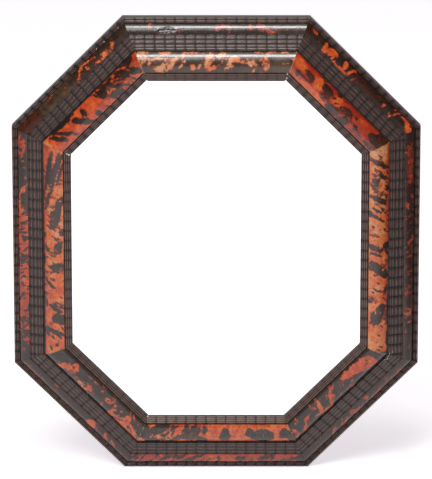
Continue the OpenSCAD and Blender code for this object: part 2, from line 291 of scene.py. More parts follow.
def planed_pine_board():
    """A backboard of planed pine with upright grain, browned by age and dusty."""
    material, tree = new_material("planed_pine_board")
    # Growth rings bend round slowly: their places wander by up to 14 mm over 150 mm
    bend = add(tree, "TexNoise", {"Vector": millimetres(tree, (1, 1, 0.4)), "Scale": 1 / 150,
                                  "Detail": 1})
    shift = add(tree, "MapRange", {0: bend, 1: 0.2, 2: 0.8, 3: -14, 4: 14})
    # A few knots, each 15 mm wide, push the grain aside
    place = add(tree, "SeparateXYZ", {0: millimetres(tree)})
    flat = add(tree, "CombineXYZ", {0: place.outputs["X"], 1: place.outputs["Z"]})
    knots = add(tree, "TexVoronoi", {"Vector": flat, "Scale": 1 / 210}, voronoi_dimensions="2D")
    middle = add(tree, "SeparateXYZ", {0: knots.outputs["Position"]})
    from_knot = add(tree, "Math", {0: place.outputs["X"], 1: middle.outputs["X"]},
                    operation="SUBTRACT")
    push = add(tree, "MapRange", {0: knots.outputs["Distance"], 1: 0.02, 2: 0.2, 3: -0.9, 4: 0.0},
               interpolation_type="SMOOTHSTEP")
    pushed = add(tree, "Math", {0: from_knot, 1: push, 2: shift}, operation="MULTIPLY_ADD")
    aside = add(tree, "CombineXYZ", {0: pushed})
    drawn = add(tree, "VectorMath", {0: millimetres(tree, (1, 1, 0.02)), 1: aside}, operation="ADD")
    rings = add(tree, "TexNoise", {"Vector": drawn, "Scale": 1 / 6, "Detail": 5, "Roughness": 0.55})
    fibres = add(tree, "TexNoise", {"Vector": millimetres(tree, (1, 1, 0.03)), "Scale": 1 / 0.8,
                                    "Detail": 3})
    age = add(tree, "TexNoise", {"Vector": millimetres(tree), "Scale": 1 / 60, "Detail": 6,
                                 "Roughness": 0.6})
    pine = add(tree, "ValToRGB", {0: rings},
               stops=[(0.30, "#7a5737"), (0.45, "#a98257"), (0.56, "#bb9364"), (0.70, "#94703f")])
    browned = add(tree, "Mix", {0: add(tree, "MapRange", {0: age, 1: 0.38, 2: 0.7, 4: 0.6}),
                                6: pine, 7: "#5f432b"}, data_type="RGBA")
    dusty = add(tree, "Mix", {0: add(tree, "MapRange", {0: fibres, 1: 0.45, 2: 0.8, 4: 0.35}),
                              6: browned, 7: "#cbb59a"}, data_type="RGBA")
    knotted = add(tree, "Mix", {0: add(tree, "MapRange", {0: knots.outputs["Distance"], 1: 0.026,
                                                         2: 0.045, 3: 0.85, 4: 0.0}),
                                6: dusty, 7: "#4a2e1a"}, data_type="RGBA")
    dents = add(tree, "Bump", {"Height": fibres, "Distance": 0.12 * MM})
    wood = add(tree, "BsdfPrincipled", {"Base Color": knotted, "Roughness": 0.68,
                                        "Normal": dents})
    add(tree, "OutputMaterial", {"Surface": wood})
    return material


def planed_wood(name, dark, light):
    """Small planed pieces of wood, between two tones of one grain."""
    material, tree = new_material(name)
    grain = add(tree, "TexNoise", {"Vector": millimetres(tree, (0.1, 1, 1)), "Scale": 1 / 1.5,
                                   "Detail": 4})
    tone = add(tree, "ValToRGB", {0: grain}, stops=[(0.3, dark), (0.7, light)])
    dents = add(tree, "Bump", {"Height": grain, "Distance": 0.05 * MM})
    wood = add(tree, "BsdfPrincipled", {"Base Color": tone, "Roughness": 0.6, "Normal": dents})
    add(tree, "OutputMaterial", {"Surface": wood})
    return material


def silvered_glass():
    """Plate glass silvered behind: a clean bright mirror whose silver is a little clouded."""
    material, tree = new_material("silvered_glass")
    clouds = add(tree, "TexNoise", {"Vector": millimetres(tree), "Scale": 1 / 40, "Detail": 5})
    tint = add(tree, "ValToRGB", {0: clouds}, stops=[(0.35, "#f3f5f4"), (0.65, "#fafbfb")])
    silver = add(tree, "BsdfPrincipled", {"Base Color": tint, "Metallic": 1.0,
                                          "Roughness": 0.015})
    add(tree, "OutputMaterial", {"Surface": silver})
    return material


def worn_metal(name, bright, dull, roughness):
    """Rolled or turned metal that is rubbed bright where it is handled and dulled by air."""
    material, tree = new_material(name)
    place = millimetres(tree)
    tarnish = add(tree, "TexNoise", {"Vector": place, "Scale": 1 / 5, "Detail": 6,
                                     "Roughness": 0.65})
    # Scratches are 0.3 mm apart, as coarse as they need to be to show
    scratches = add(tree, "TexNoise", {"Vector": millimetres(tree, (1, 1, 0.12)),
                                       "Scale": 1 / 0.3, "Detail": 2})
    colour = add(tree, "Mix", {0: add(tree, "MapRange", {0: tarnish, 1: 0.38, 2: 0.66}),
                               6: bright, 7: dull}, data_type="RGBA")
    polish = add(tree, "MapRange", {0: tarnish, 1: 0.3, 2: 0.7, 3: roughness,
                                    4: roughness + 0.22})
    dents = add(tree, "Bump", {"Height": scratches, "Distance": 0.015 * MM})
    metal = add(tree, "BsdfPrincipled", {"Base Color": colour, "Metallic": 1.0,
                                         "Roughness": polish, "Normal": dents})
    add(tree, "OutputMaterial", {"Surface": metal})
    return material


# Rails


def edges_of(piece):
    """A bottom moulding's two edges, as distances from the outer edge of the frame in mm, and its
    lowest and highest face above the back."""
    low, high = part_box(piece + "_bottom")
    return [x / MM for x in (low.z - cad_low.z, high.z - cad_low.z, -high.y, -low.y)]


HALF_W, HALF_H = cad_high.x / MM, cad_high.z / MM
FLAT_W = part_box("core_rail_bottom")[1].x / MM
CORNER_CUT = HALF_W - FLAT_W
FLAT_H = HALF_H - CORNER_CUT
CORNERS = [Vector(c) for c in (
    (-FLAT_W, -HALF_H), (FLAT_W, -HALF_H), (HALF_W, -FLAT_H), (HALF_W, FLAT_H),
    (FLAT_W, HALF_H), (-FLAT_W, HALF_H), (-HALF_W, FLAT_H), (-HALF_W, -FLAT_H))]

EDGE_H = edges_of("outer_ripple")[2]
X_OUTER_SHELL, X_MIDDLE = edges_of("outer_shell")[:2]
X_GROOVE = edges_of("middle_ripple")[1]
X_INNER_SHELL, X_SIGHT = edges_of("inner_shell")[:2]
X_OPENING = edges_of("sight_ripple")[1]
H_OUTER_SHELL = edges_of("outer_ripple")[3]
H_GROOVE = edges_of("middle_ripple")[3]
H_GLASS, H_SIGHT = edges_of("sight_ripple")[2:]

MIDDLE_RIPPLE_T = 3.0
H_MIDDLE = edges_of("middle_ripple")[2] + MIDDLE_RIPPLE_T
SIGHT_LIP = 3.5
H_OPENING = H_GLASS + SIGHT_LIP
SHELL_T = 1.2
OUTER_CROWN = 2.2
INNER_CROWN = 4.8
GROOVE_DEPTH = 4.0
BACKBOARD_T = 8.0
BACKBOARD_CLEAR = 0.3
GLASS_CLEAR = 0.5
X_LEDGE = cad_high.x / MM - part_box("backboard")[1].x / MM - BACKBOARD_CLEAR
X_REBATE = cad_high.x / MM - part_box("mirror_glass")[1].x / MM - GLASS_CLEAR

# How far short of its mitre each piece of a rail stops
MOULDING_GAP = 0.04
SHELL_GAP = 0.1
CORE_GAP = 0.08

RIPPLE_PITCH = 12.5
RIPPLE_DEPTH = 0.9
# The ripples of the top rail and beside the glass are cut a little shallower
SHALLOW_RIPPLE_DEPTH = RIPPLE_DEPTH * 0.6


def rail_length(i):
    return (CORNERS[(i + 1) % 8] - CORNERS[i]).length


def rail_frame(i):
    """A rail's own axes: X along its outer edge, Y inwards and Z out of the wall."""
    turn = math.radians(45 * i)
    along = Vector((math.cos(turn), 0, math.sin(turn)))
    inwards = Vector((-math.sin(turn), 0, math.cos(turn)))
    outwards = Vector((0, -1, 0))
    start = Vector((CORNERS[i].x, 0, CORNERS[i].y)) * MM
    axes = Matrix((along, inwards, outwards)).transposed().to_4x4()
    return Matrix.Translation(start) @ axes


def finish_piece(name, points, faces, material, body, node=None, marks=None, matrix=None,
                 sharp=35.0):
    """Makes a mesh piece of points in mm, lets it ride on its body and stand for its node."""
    mesh = bpy.data.meshes.new(name)
    bm = bmesh.new()
    layers = {mark: bm.verts.layers.float.new(mark) for mark in (marks or {})}
    corners = []
    for n, point in enumerate(points):
        corner = bm.verts.new([c * MM for c in point])
        for mark, layer in layers.items():
            corner[layer] = marks[mark][n]
        corners.append(corner)
    for face in faces:
        bm.faces.new([corners[n] for n in face])
    bmesh.ops.remove_doubles(bm, verts=bm.verts, dist=0.002 * MM)
    bmesh.ops.recalc_face_normals(bm, faces=bm.faces)
    bm.to_mesh(mesh)
    bm.free()
    mesh.shade_smooth()
    mesh.set_sharp_from_angle(angle=math.radians(sharp))
    mesh.materials.append(material)
    thing = put_in_scene(name, mesh)
    if matrix is not None:
        thing.matrix_world = matrix
    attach(thing, body)
    if node:
        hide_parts(node)
    return thing


def strip_faces(columns, rows, closed=False):
    """Faces between columns of points whose rows go round, with ends unless they close up."""
    faces = []
    for c in range(columns if closed else columns - 1):
        a, b = c * rows, (c + 1) % columns * rows
        for r in range(rows):
            s = (r + 1) % rows
            faces.append([a + r, a + s, b + s, b + r])
    if not closed:
        faces += [list(range(rows)), list(range((columns - 1) * rows, columns * rows))]
    return faces


def rail_piece(name, i, columns, rows, shape, material, node, gap, sharp=35.0):
    """A moulding along rail i. Rows are the across places of its closed section. For a place
    along the rail and a row, shape gives the height and the marks there. Both ends are mitred,
    and stop a gap short of the mitre."""
    length = rail_length(i)
    points, marks = [], {}
    for column in columns:
        for row, across in enumerate(rows):
            end = across * MITRE_LEAN + gap
            along = min(max(column, end), length - end)
            height, found = shape(along, row)
            points.append((along, across, height))
            for mark, value in found.items():
                marks.setdefault(mark, []).append(value)
    thing = finish_piece(name, points, strip_faces(len(columns), len(rows)), material,
                         "mirror", node, marks, rail_frame(i), sharp)
    # The woods and the shell read this number, so that no two rails have the same figure
    thing.pass_index = i + 1


# Rippled mouldings


def ripple_dip(along, i, seed):
    """How far the ripples dip at a place along a rail, from 0 on a crest to 1 in a groove. The
    ripples are set out from the middle of the rail, and no two are cut quite alike."""
    turns = (along - rail_length(i) / 2) / RIPPLE_PITCH
    turns += 0.05 * noise.noise(Vector((turns * 0.7, i * 5.3, seed)))
    share = abs(turns % 1.0 - 0.5) * 2
    deep = 1 + 0.25 * noise.noise(Vector((round(turns) * 3.7, i * 2.9, seed + 4.1)))
    hollow, narrow_groove = share ** 3, share ** 12
    return min(1.0, deep * (0.42 * hollow + 0.58 * narrow_groove))


def ripple_columns(i):
    """Places along a rail, close together where a groove crosses it."""
    steps = (0.0, 0.025, 0.05, 0.09, 0.15, 0.26, 0.40, 0.60, 0.74, 0.85, 0.91, 0.95, 0.975)
    length = rail_length(i)
    waves = math.ceil(length / RIPPLE_PITCH / 2)
    places = [length / 2 + (n + s) * RIPPLE_PITCH for n in range(-waves, waves) for s in steps]
    return [0.0] + [p for p in places if 0 < p < length] + [length]


def reeded_rows(outer, inner, reeds):
    """Across places, heights, reliefs and paleness of a reeded top. A reed is the share of the
    width where it ends, the depth of the valley beside it, how far its crest stands below the
    full height, and how pale its crest is painted, as rubbed wood and as painted highlight."""
    made, start = [], 0.0
    for end, valley, lower, bare in reeds:
        for t in (0.0, 0.1, 0.22, 0.34, 0.44, 0.5, 0.56, 0.66, 0.78, 0.9):
            dip = abs(2 * t - 1) ** 1.4
            made.append((start + (end - start) * t, lower + valley * dip, (1 - dip) ** 1.6, bare))
        start = end
    made.append((1.0, reeds[-1][2] + reeds[-1][1], 0.4, reeds[-1][3]))
    rows = []
    for share, drop, relief, bare in made:
        x = outer[0] + (inner[0] - outer[0]) * share
        rows.append((x, outer[1] + (inner[1] - outer[1]) * share - drop, relief, bare))
    return rows


def rippled_moulding(kind, i, outer, inner, reeds, under, seed):
    """A moulding with reeds along it and ripples across it. Outer and inner are the across place
    and the full height of its two edges, and under gives the heights where they stand."""
    side = SIDES[i]
    node = kind + "_" + side
    by_the_glass = kind == "sight_ripple"
    rows = reeded_rows(outer, inner, reeds)
    carved = len(rows)
    rows += [(inner[0], under[1], 0.2, 0.0), (outer[0], under[0], 0.2, 0.0)]
    length = rail_length(i)
    chips = (0, CHIPS.get(node, ()))
    # The grooves nearest the glass are darkened less
    groove_darkening = GROOVE_DIRT_AND_SHADE[side] * (0.6 if by_the_glass else 1.0)
    depth = SHALLOW_RIPPLE_DEPTH if side == "top" or by_the_glass else RIPPLE_DEPTH

    def shape(along, row):
        across, height, relief, bare = rows[row]
        dip = ripple_dip(along, i, seed) if row < carved else 0.0
        # A crest is painted paler by its bareness, as rubbed wood and as painted highlight
        bare *= relief
        if chips[1]:
            bare = max(bare, painted(chips, length - along, across - outer[0], i))
        # Reed valleys and ripple grooves get a lower relief, which the wood paints darker: grime and old
        # wax, and painted shade
        relief = 0.42 + 0.56 * relief - 0.65 * dip * groove_darkening
        return height - depth * dip, {"relief": relief, "bare": bare}

    rail_piece(node + "_moulding", i, ripple_columns(i), [r[0] for r in rows], shape,
               PEARWOOD, node, MOULDING_GAP)


OUTER_REEDS = ((0.44, 0.8, 0.0, 0.5), (0.74, 0.8, 0.1, 0.45), (1.0, 0.6, 0.15, 0.5))
# Along the right and top right the outer moulding stands clear of the shell, with a dark gap
CLEAR_OUTER_REEDS = ((0.42, 0.8, 0.0, 0.5), (0.70, 0.8, 0.1, 0.45), (0.88, 0.5, 0.3, 0.3),
                     (1.0, 0.3, 1.2, 0.0))
MIDDLE_REEDS = ((0.09, 0.4, 0.3, 0.0), (0.32, 0.55, 0.0, 0.1), (0.61, 0.6, 0.05, 0.05),
                (0.80, 0.55, 0.0, 0.1), (0.94, 0.5, 0.0, 0.15))
# The last reed of the middle moulding drops into the groove, on two rails less far
LOW_LAST_REED = (1.0, 0.3, 2.2, 0.0)
LAST_REEDS = {"right": (1.0, 0.3, 0.9, 0.6), "bottom_left": (1.0, 0.3, 0.7, 0.2)}
TOP_MIDDLE_REEDS = ((0.09, 0.4, 0.3, 0.0), (0.35, 0.6, 0.0, 0.1), (0.64, 0.65, 0.05, 0.05),
                    (0.83, 0.6, 0.0, 0.1), (0.96, 0.55, 0.0, 0.2), (1.0, 0.3, 0.3, 0.6))
SIGHT_REEDS = ((0.12, 0.5, 1.3, 0.1), (0.38, 0.6, 0.15, 0.5), (0.62, 0.6, 0.0, 0.55),
               (0.85, 0.6, 0.1, 0.5), (1.0, 0.4, 0.1, 0.5))
# Painted highlight along the lowest sight moulding: its crests are painted paler still, and
# break into whitish dashes where the light glints along them
HIGHLIT_SIGHT_REEDS = SIGHT_REEDS[:2] + ((0.62, 0.6, 0.0, 0.8), (0.85, 0.6, 0.1, 0.84),
                                        (1.0, 0.4, 0.1, 0.8))

# How much the ripple grooves are darkened, by rail, as grime and old wax and as painted shade
GROOVE_DIRT_AND_SHADE = {"top": 0.5, "top_right": 1.8, "right": 1.7, "bottom_right": 0.7, "bottom": 0.6,
        "bottom_left": 0.5, "left": 1.0, "top_left": 2.1}

# Chips in the edges where raw wood shows, as strokes like those of the tortoiseshell below
CHIPS = {
    "outer_ripple_top_left": ((182, 6.1, 0.5, 0.3, 0, 1.1), (157, 6.1, 0.4, 0.3, 0, 1.1),
                              (144, 6.1, 0.5, 0.3, 0, 1.2)),
    "sight_ripple_top": ((27.2, 1.2, 0.5, 0.5, 0, 1.7), (203.2, 2.5, 0.3, 1.6, -20, 1.6)),
    "sight_ripple_top_right": ((29.4, 7.6, 0.5, 1.2, 20, 1.7),),
    "sight_ripple_left": ((274.9, 6.6, 1.1, 0.25, 112.5, 1.5),),
    "middle_ripple_right": ((288, 13.5, 0.8, 0.2, 30, 1.1), (289, 16.5, 0.4, 0.2, 0, 1.1)),
    "middle_ripple_bottom_right": ((18.5, 16.3, 0.6, 0.15, 0, 1.1), (20.5, 14, 0.6, 0.15, 0, 1.1),
                                   (23.8, 15.6, 0.5, 0.15, 0, 1.1),
                                   (26, 13.2, 0.5, 0.15, 0, 1)),
    "sight_ripple_bottom_left": ((30.5, 9, 0.6, 0.6, 0, 1.4),),
}


# Tortoiseshell bands

# Marks in the shell, listed for each band of each rail: first the band's base, from -2 for
# clear orange shell to 2 for black, and then strokes painted over it in order. A stroke is
# (along, across, half length, half width, turn, pigment). Along is in mm from the outer corner
# where the rail starts clockwise, across is in mm from the band's outer edge, and a turn is in
# degrees from along towards inwards.
OUTER_MARKS = {
    "top": (1.9, [
        (34, 5, 4.5, 3, -60, -0.4), (68, 9.5, 4, 1.8, -15, -0.3), (120, 5.5, 7, 3.6, -15, -0.6),
        (130, 6.5, 5, 3.6, 20, -0.2), (131, 11, 3.5, 2.4, 70, 0), (145, 9, 4, 3, -30, 0.6),
        (157, 5.5, 4, 3.4, 90, -0.7), (170, 5, 6, 4, 20, -0.9), (181, 9.5, 9, 2.4, 12, -0.4),
        (190, 6, 7, 2.4, 20, 0.3), (208, 6, 17, 6, 0, 1.1), (52, 11, 12, 2, 0, 1)]),
    "top_right": (2, [
        (16.7, 2, 5, 2, 10, -1.6), (28.6, 6.4, 2, 1.2, 0, -0.8), (39, 7, 5.5, 3.5, 70, -2),
        (46, 7, 4, 3, 0, -2), (52.5, 6, 7, 5.5, 0, -2), (73, 5.7, 5.7, 3.5, 90, -2),
        (70, 11.8, 11, 1, 0, -2), (84, 5.5, 6.5, 1.6, -60, -1.8), (87.5, 2.5, 1.5, 1.2, 0, -1.5),
        (90.6, 10.7, 2.5, 1, -60, -1.5), (142, 7.5, 2.6, 1.8, -50, -1.2), (155, 10.8, 3, 2, 40, -1.6),
        (171, 1.8, 12, 1.5, 0, -2), (160.5, 5.5, 4.5, 1.8, 80, -2), (180, 5.5, 8, 3.5, 35, -2),
        (167, 6.5, 4.5, 3.2, 0, 2), (175.7, 7, 1.8, 1.2, 60, 2), (189, 8, 4, 1.6, 50, -1.6)]),
    "right": (2, [
        (44, 7.5, 26, 3.5, 0, -0.7), (41.5, 6.5, 3, 1.6, -60, -1.4), (62, 5.5, 3.2, 1.8, -20, -1.4),
        (89.5, 3.2, 2.6, 2, 90, -1.4), (96.5, 10, 2.5, 1.5, -60, -1), (101, 9, 3, 1.5, 0, -1),
        (144, 4.5, 5.5, 1.9, 50, -2), (154.6, 6, 2, 1.5, 0, -0.5), (165, 6.5, 2.6, 1.7, 70, -1.6),
        (211, 9.3, 4.5, 1.6, 10, -1.8), (225, 1, 8, 0.9, -5, -0.6), (237, 7, 4.6, 4, 0, -1.9),
        (235.5, 7.6, 1.3, 1.5, 0, 1.5), (250, 6, 2.2, 1.6, 90, -1.2), (261, 10, 1.5, 1, 0, -1),
        (281, 5.5, 4, 1.2, 0, -0.4)]),
    "bottom_right": (2, [
        (30, 2.7, 5, 2, 10, -0.3), (41.8, 7.3, 4, 1.4, -30, -1), (64.8, 3.7, 8, 2.5, 5, -0.5),
        (76.5, 9, 3.8, 2, 15, -1.8), (101, 7.3, 5.5, 3, 20, -1.1), (115.3, 5.5, 5, 2, -25, -1.1),
        (133, 7.3, 5.5, 1.8, -30, -0.9), (172, 3, 8, 1.5, 0, 0.1)]),
    "bottom": (-1.6, [
        (111.6, 5.5, 27, 5, 0, -2), (214, 5, 10, 5, 0, -1.8), (6, 6, 8, 9, 0, 1.6),
        (226, 6, 4, 9, 0, 1.6)]),
    "bottom_left": (2, [
        (34, 7.3, 6, 2, 30, -1.3), (47, 7.3, 5.5, 1.9, 40, -1.3), (16.6, 4.2, 2, 1, 30, -0.3),
        (71.6, 6.4, 7.5, 4.8, 0, -2), (61, 6.5, 3, 1, 10, -0.8), (118.5, 2.7, 3.5, 1.3, -15, -0.5),
        (137.8, 11, 4.5, 1.3, -10, -0.7), (166.7, 3.7, 5.5, 1.8, 0, -0.5),
        (178.5, 7.3, 1.5, 1, 0, -0.6), (186.4, 3.7, 5, 1.5, -25, -1)]),
    "left": (2, [
        (46, 6.4, 28, 9, 0, -1.5), (104, 6.4, 34, 9, 0, -1.9), (166, 6.4, 36, 9, 0, -1.9),
        (206.4, 2.9, 9, 2, 0, -1.4), (225, 7, 9, 2.2, 30, -1.4), (241.6, 10.4, 1.8, 1.5, 0, -1.2),
        (254.4, 9.6, 2, 1.6, 90, -1.2), (262, 8, 2.2, 1.6, 60, -1.2), (282, 5.6, 15, 5.5, 0, -1),
        (277, 4, 2.5, 1.5, 90, 1.8)]),
    "top_left": (1.2, [
        (24.6, 5, 17, 4.5, 0, 0.8), (73, 6.4, 31, 6, 0, 1.1), (61.5, 2, 4.5, 1.2, -15, -0.3),
        (83, 5, 2, 1, 50, -0.4), (75.4, 10.6, 2.5, 1, -30, -0.3), (108.4, 5.7, 8.4, 1.6, -43, -1.2),
        (114.6, 2, 3.5, 2.2, -20, -1.3), (125.3, 2.8, 10.5, 1.4, 12, -1.2),
        (120, 7.8, 3.5, 1.4, 50, -1), (138.4, 11.4, 7, 1.6, 15, -1.1), (149, 9.9, 5.5, 2.6, 0, -1.5),
        (160, 10.6, 4.5, 1.6, -25, -1.2), (163.3, 7, 2, 1.4, -60, -1.1)]),
}
INNER_MARKS = {
    "top": (1.2, [
        (24, 4, 8, 5, 60, -1.8), (33, 13, 4.5, 2.2, -70, -1.6), (52, 2, 8, 2, 0, -1.6),
        (47, 11, 9, 3.5, 0, -2), (50, 19.5, 12, 4.2, -8, -2), (61.6, 13, 9, 3, -35, -2),
        (47.4, 12.3, 5.5, 1.6, -5, 2), (77, 2, 3, 1.6, 0, -1.4), (88, 2.5, 9, 1.6, 0, -1.2),
        (87, 18, 3.2, 2.6, 60, -1.8), (106.6, 10.5, 9, 4.5, -70, -2), (111.5, 19, 8, 2, -28, -1.8),
        (121.5, 5, 6, 3.5, -50, -1.6), (130.5, 15.5, 8.5, 1.8, -48, -1.6),
        (137.5, 9.5, 7, 2.6, 0, -1.9), (151, 12.8, 13, 1.3, 8, -1.6), (160.5, 13, 5, 1.8, -55, -1.6),
        (168, 2, 4, 2, 0, -1.2), (177, 14.5, 7.5, 4.2, 80, -1.5), (199, 1.5, 4.5, 1.5, 0, -1.2),
        (196, 15, 13, 7, 0, 1.4), (197.5, 15, 2.2, 1.3, 0, -0.9), (203, 15.3, 2, 1.2, 0, -0.9),
        (209, 9, 5, 1, 55, -1.2)]),
    "top_right": (-2, [
        (48.5, 10.6, 5.6, 2.6, 5, 3), (76, 8, 8, 3.8, 0, 3), (79.5, 12.2, 4.2, 4.2, 0, 3),
        (93, 2, 3.5, 1.8, 0, 2), (112, 11, 8, 3.4, -5, 3), (97, 20.4, 9, 4, 0, 2),
        (116, 21, 7, 4.2, -20, 2), (78.7, 16.5, 7, 3.5, 0, 0.3), (134, 17.5, 4.5, 3, 0, 0.7),
        (164.5, 10.5, 12, 5, -3, 3), (169, 2.5, 7, 3.4, 0, 3), (162, 20, 10, 3, 0, 0.2),
        (35, 17.5, 3.5, 2.5, 0, 1.8)]),
    "right": (-2, [
        (42, 12.2, 10.5, 2.5, -60, 2), (50, 16.5, 2.5, 1.2, -40, 1.6), (58, 10.6, 5, 2.2, -60, 2),
        (67.5, 18, 7.5, 3, 0, 2), (62.8, 15.5, 3, 2.5, 0, 2), (74, 2.5, 3.2, 2.8, 90, 2),
        (88, 13, 9.3, 3, -60, 2), (101, 16.3, 4.2, 1.3, -50, 1.8), (109.6, 16.3, 8.3, 1.4, -52, 1.8),
        (121.7, 19.6, 1.3, 1.1, 0, 1.4), (126.4, 6.5, 1.3, 1.1, 0, 1.4), (106, 22.8, 2.5, 1.6, 0, 1.6),
        (147.6, 4, 4.5, 4, 0, 2), (157, 2.4, 3.5, 1.6, -45, 1.8), (148.4, 18.7, 6.5, 2.6, -60, 2),
        (157, 17, 6, 1.6, -62, 1.8), (152, 12, 3, 1.5, -30, 1.6), (178, 12.2, 13, 5, -45, 2),
        (183.7, 5, 4.5, 4.5, 0, 2), (169.6, 19.5, 4, 2.6, -50, 2), (176, 20.5, 4, 1.5, -60, 1.6),
        (204, 4.2, 4.5, 2.2, 15, 1.9), (227.6, 9.8, 6, 4.6, 60, 2), (238.6, 13, 10, 4.2, 30, 2),
        (217.4, 21, 3.5, 2, 90, 1.7), (235.5, 19.5, 4, 1.8, 20, 0.8), (242.6, 20.4, 4.5, 1.8, 20, 0.8),
        (232, 1.6, 13, 1.3, 3, 1.8), (267, 1.6, 6, 1, 0, 1.6), (287, 6.5, 6, 2.4, 75, 2)]),
    "bottom_right": (2, [
        (34, 9, 4, 8, 0, -2), (40.5, 12.6, 9, 9, 0, -2), (50, 15.3, 14, 7, 8, -2),
        (64.8, 18, 15, 4.6, 8, -2), (75.8, 1.8, 4, 1.5, 0, -1.5), (104.5, 11.7, 12, 2.6, -51, -2),
        (119, 2.7, 8, 2.6, 0, -2), (123, 12.6, 9.5, 3, -69, -2), (131, 7.2, 5, 1.5, 15, -1.5),
        (129.6, 17, 3.2, 2, 30, -1.5), (144, 14.4, 4.5, 1.3, -10, -1.4),
        (154.7, 5.4, 12, 3.4, -38, -1.6), (150, 7.5, 4, 1.2, -38, 0.6), (169, 7.5, 5.5, 2.4, -50, -1.9),
        (168.5, 13.5, 4, 2, 20, -1.8)]),
    "bottom": (-2, [
        (20, 10, 6, 9, 0, 1.2), (30, 14, 6, 6, 0, 2), (57.4, 10, 13.5, 9, 0, 2), (74, 15, 4.2, 4.5, 0, 2),
        (105.3, 9, 6.5, 6.5, 0, 2), (103.7, 16, 4, 4, 0, 2), (132.4, 4.5, 5, 4, 0, 2),
        (130, 18.5, 4.5, 2.5, 90, 1.5), (148, 10, 12, 8, 0, 0), (152, 18.5, 5.5, 3, 90, 1.6),
        (143.5, 20, 5, 3.5, -40, 0.9), (167.5, 6, 8, 3, 0, 0.2), (181, 12, 3.2, 2, -20, 1.2),
        (188, 19, 14, 5, -20, 2), (196, 4, 8, 4, 0, 2), (206, 16, 7, 9, 0, 2),
        (197.8, 11, 6.5, 2, -20, -1.6)]),
    "bottom_left": (2, [
        (20, 3.6, 8, 4, 20, -1.8), (31.6, 5, 10, 6.5, 20, -2), (46, 7, 12, 8, 0, -2),
        (47, 13.5, 5.5, 4.5, 90, -2), (61.6, 4, 10, 5, 0, -2), (68, 7.5, 6, 3, 75, -2),
        (37, 8, 2.6, 1.3, -20, 1.9), (53, 7.6, 2.4, 1.2, -30, 1.4), (58.5, 5.5, 1.5, 1, 0, 1.2),
        (69.5, 16.8, 4, 1.4, 45, -1.4), (68.7, 13.4, 1.6, 1.6, 0, -1.4), (75.8, 17.6, 2, 1.2, -20, -1.2),
        (82, 15, 4, 2.6, 0, -1.7), (110.6, 7.6, 14, 7, 10, 0.1), (110.6, 11.8, 2, 1.8, 0, -1.4),
        (121.7, 4.2, 2.5, 1.5, 30, -1.4), (124, 7.2, 14, 2.6, 8, -0.9), (146, 11.8, 11, 5, -22, -2),
        (141.4, 16.8, 4.5, 4, 90, -2), (142, 16, 1, 1, 0, 1.4), (155.6, 3.9, 6, 1.8, -20, -1.3)]),
    "left": (-2, [
        (18.4, 17.3, 4.5, 3.4, 90, 2), (24.8, 10.2, 1.2, 1.1, 0, 1.2), (30.4, 16.5, 2.2, 1.2, -50, 1.4),
        (40, 11.8, 1.1, 1, 0, 1), (58.4, 10.2, 1.2, 1.1, 0, 0.8), (48, 12.6, 11, 2.2, -69, 2),
        (46.4, 4, 4, 1.5, -40, 1.6), (64.8, 17.3, 6, 6, 0, 2), (61.6, 22, 4, 2.5, 0, 2),
        (77.6, 15, 6.5, 2.6, -50, 2), (84.8, 3.6, 4.8, 1.8, -10, 1.8), (96, 2.4, 2, 1.2, -45, 1.4),
        (110.4, 7.9, 7.5, 1.6, -45, 1.8), (124, 4, 2.5, 1, 90, 1.2), (130.4, 17.3, 6, 6.5, 0, 2),
        (139, 1.1, 5, 1.6, 0, 1.8), (154.4, 4.7, 3.4, 2.8, -60, 2), (156, 18.8, 7, 3.6, 15, 2),
        (176, 22, 3.4, 1.6, 0, 1.8), (171.5, 2.4, 2.4, 1.8, 0, 1.8), (186, 14, 4, 3, 0, 2),
        (195, 16.5, 12, 4.5, 15, 2), (198, 12, 3.5, 2, 0, 2), (213, 20.4, 9, 3.2, 25, 2),
        (240, 12, 32, 2.8, 14, 2), (248, 7, 27.5, 2.4, 10, 2), (256, 17.3, 16, 1.3, 18, 1.7),
        (250, 20.5, 10, 1.1, 14, 1.6), (228.8, 7, 8, 2, 22, -1.8)]),
    "top_left": (-2, [
        (140, 12, 28, 12, 0, -0.9), (49.2, 1.2, 16, 3, 0, 2), (34.6, 11.3, 8.5, 1.8, 43, 2),
        (38.5, 14.8, 3.5, 2.4, 43, 2), (44.6, 11.8, 11.5, 1.6, 40, 1.7),
        (72, 16, 11, 2.8, 42, 2), (66, 9.6, 3, 2, 0, 2),
        (80, 9.6, 4.5, 3.2, 90, 1.6), (93.8, 21.8, 3.2, 3, 0, 1.7), (113.3, 9, 5.6, 5.2, 0, 2),
        (127, 20, 8, 3.5, 20, 1.3), (125, 7, 5, 5, 0, 1.1), (125.3, 12.2, 12, 1.3, 60, -0.7),
        (134.6, 9, 1.2, 1.2, 0, 1.6), (139, 6, 1.5, 1.2, 90, 1.6), (143.8, 5, 1.3, 1.3, 0, 1.6),
        (146, 13, 1.6, 1.2, 0, 1.6), (150, 9, 5, 2.8, 40, 1.8), (163, 2.6, 6.5, 4, 0, 2),
        (163.8, 17.4, 5, 3.4, 45, 1.8)]),
}


def flecks(first, last, wide, count, long, turn, value, seed):
    """Small slanted strokes, scattered over the part of a band from first to last along it and
    wide across it."""
    dice = random.Random(seed)
    return [(dice.uniform(first, last), dice.uniform(0.5, wide - 0.5),
             long * dice.uniform(0.6, 1.4), long * dice.uniform(0.25, 0.4),
             turn + dice.uniform(-18, 18), value) for n in range(count)]


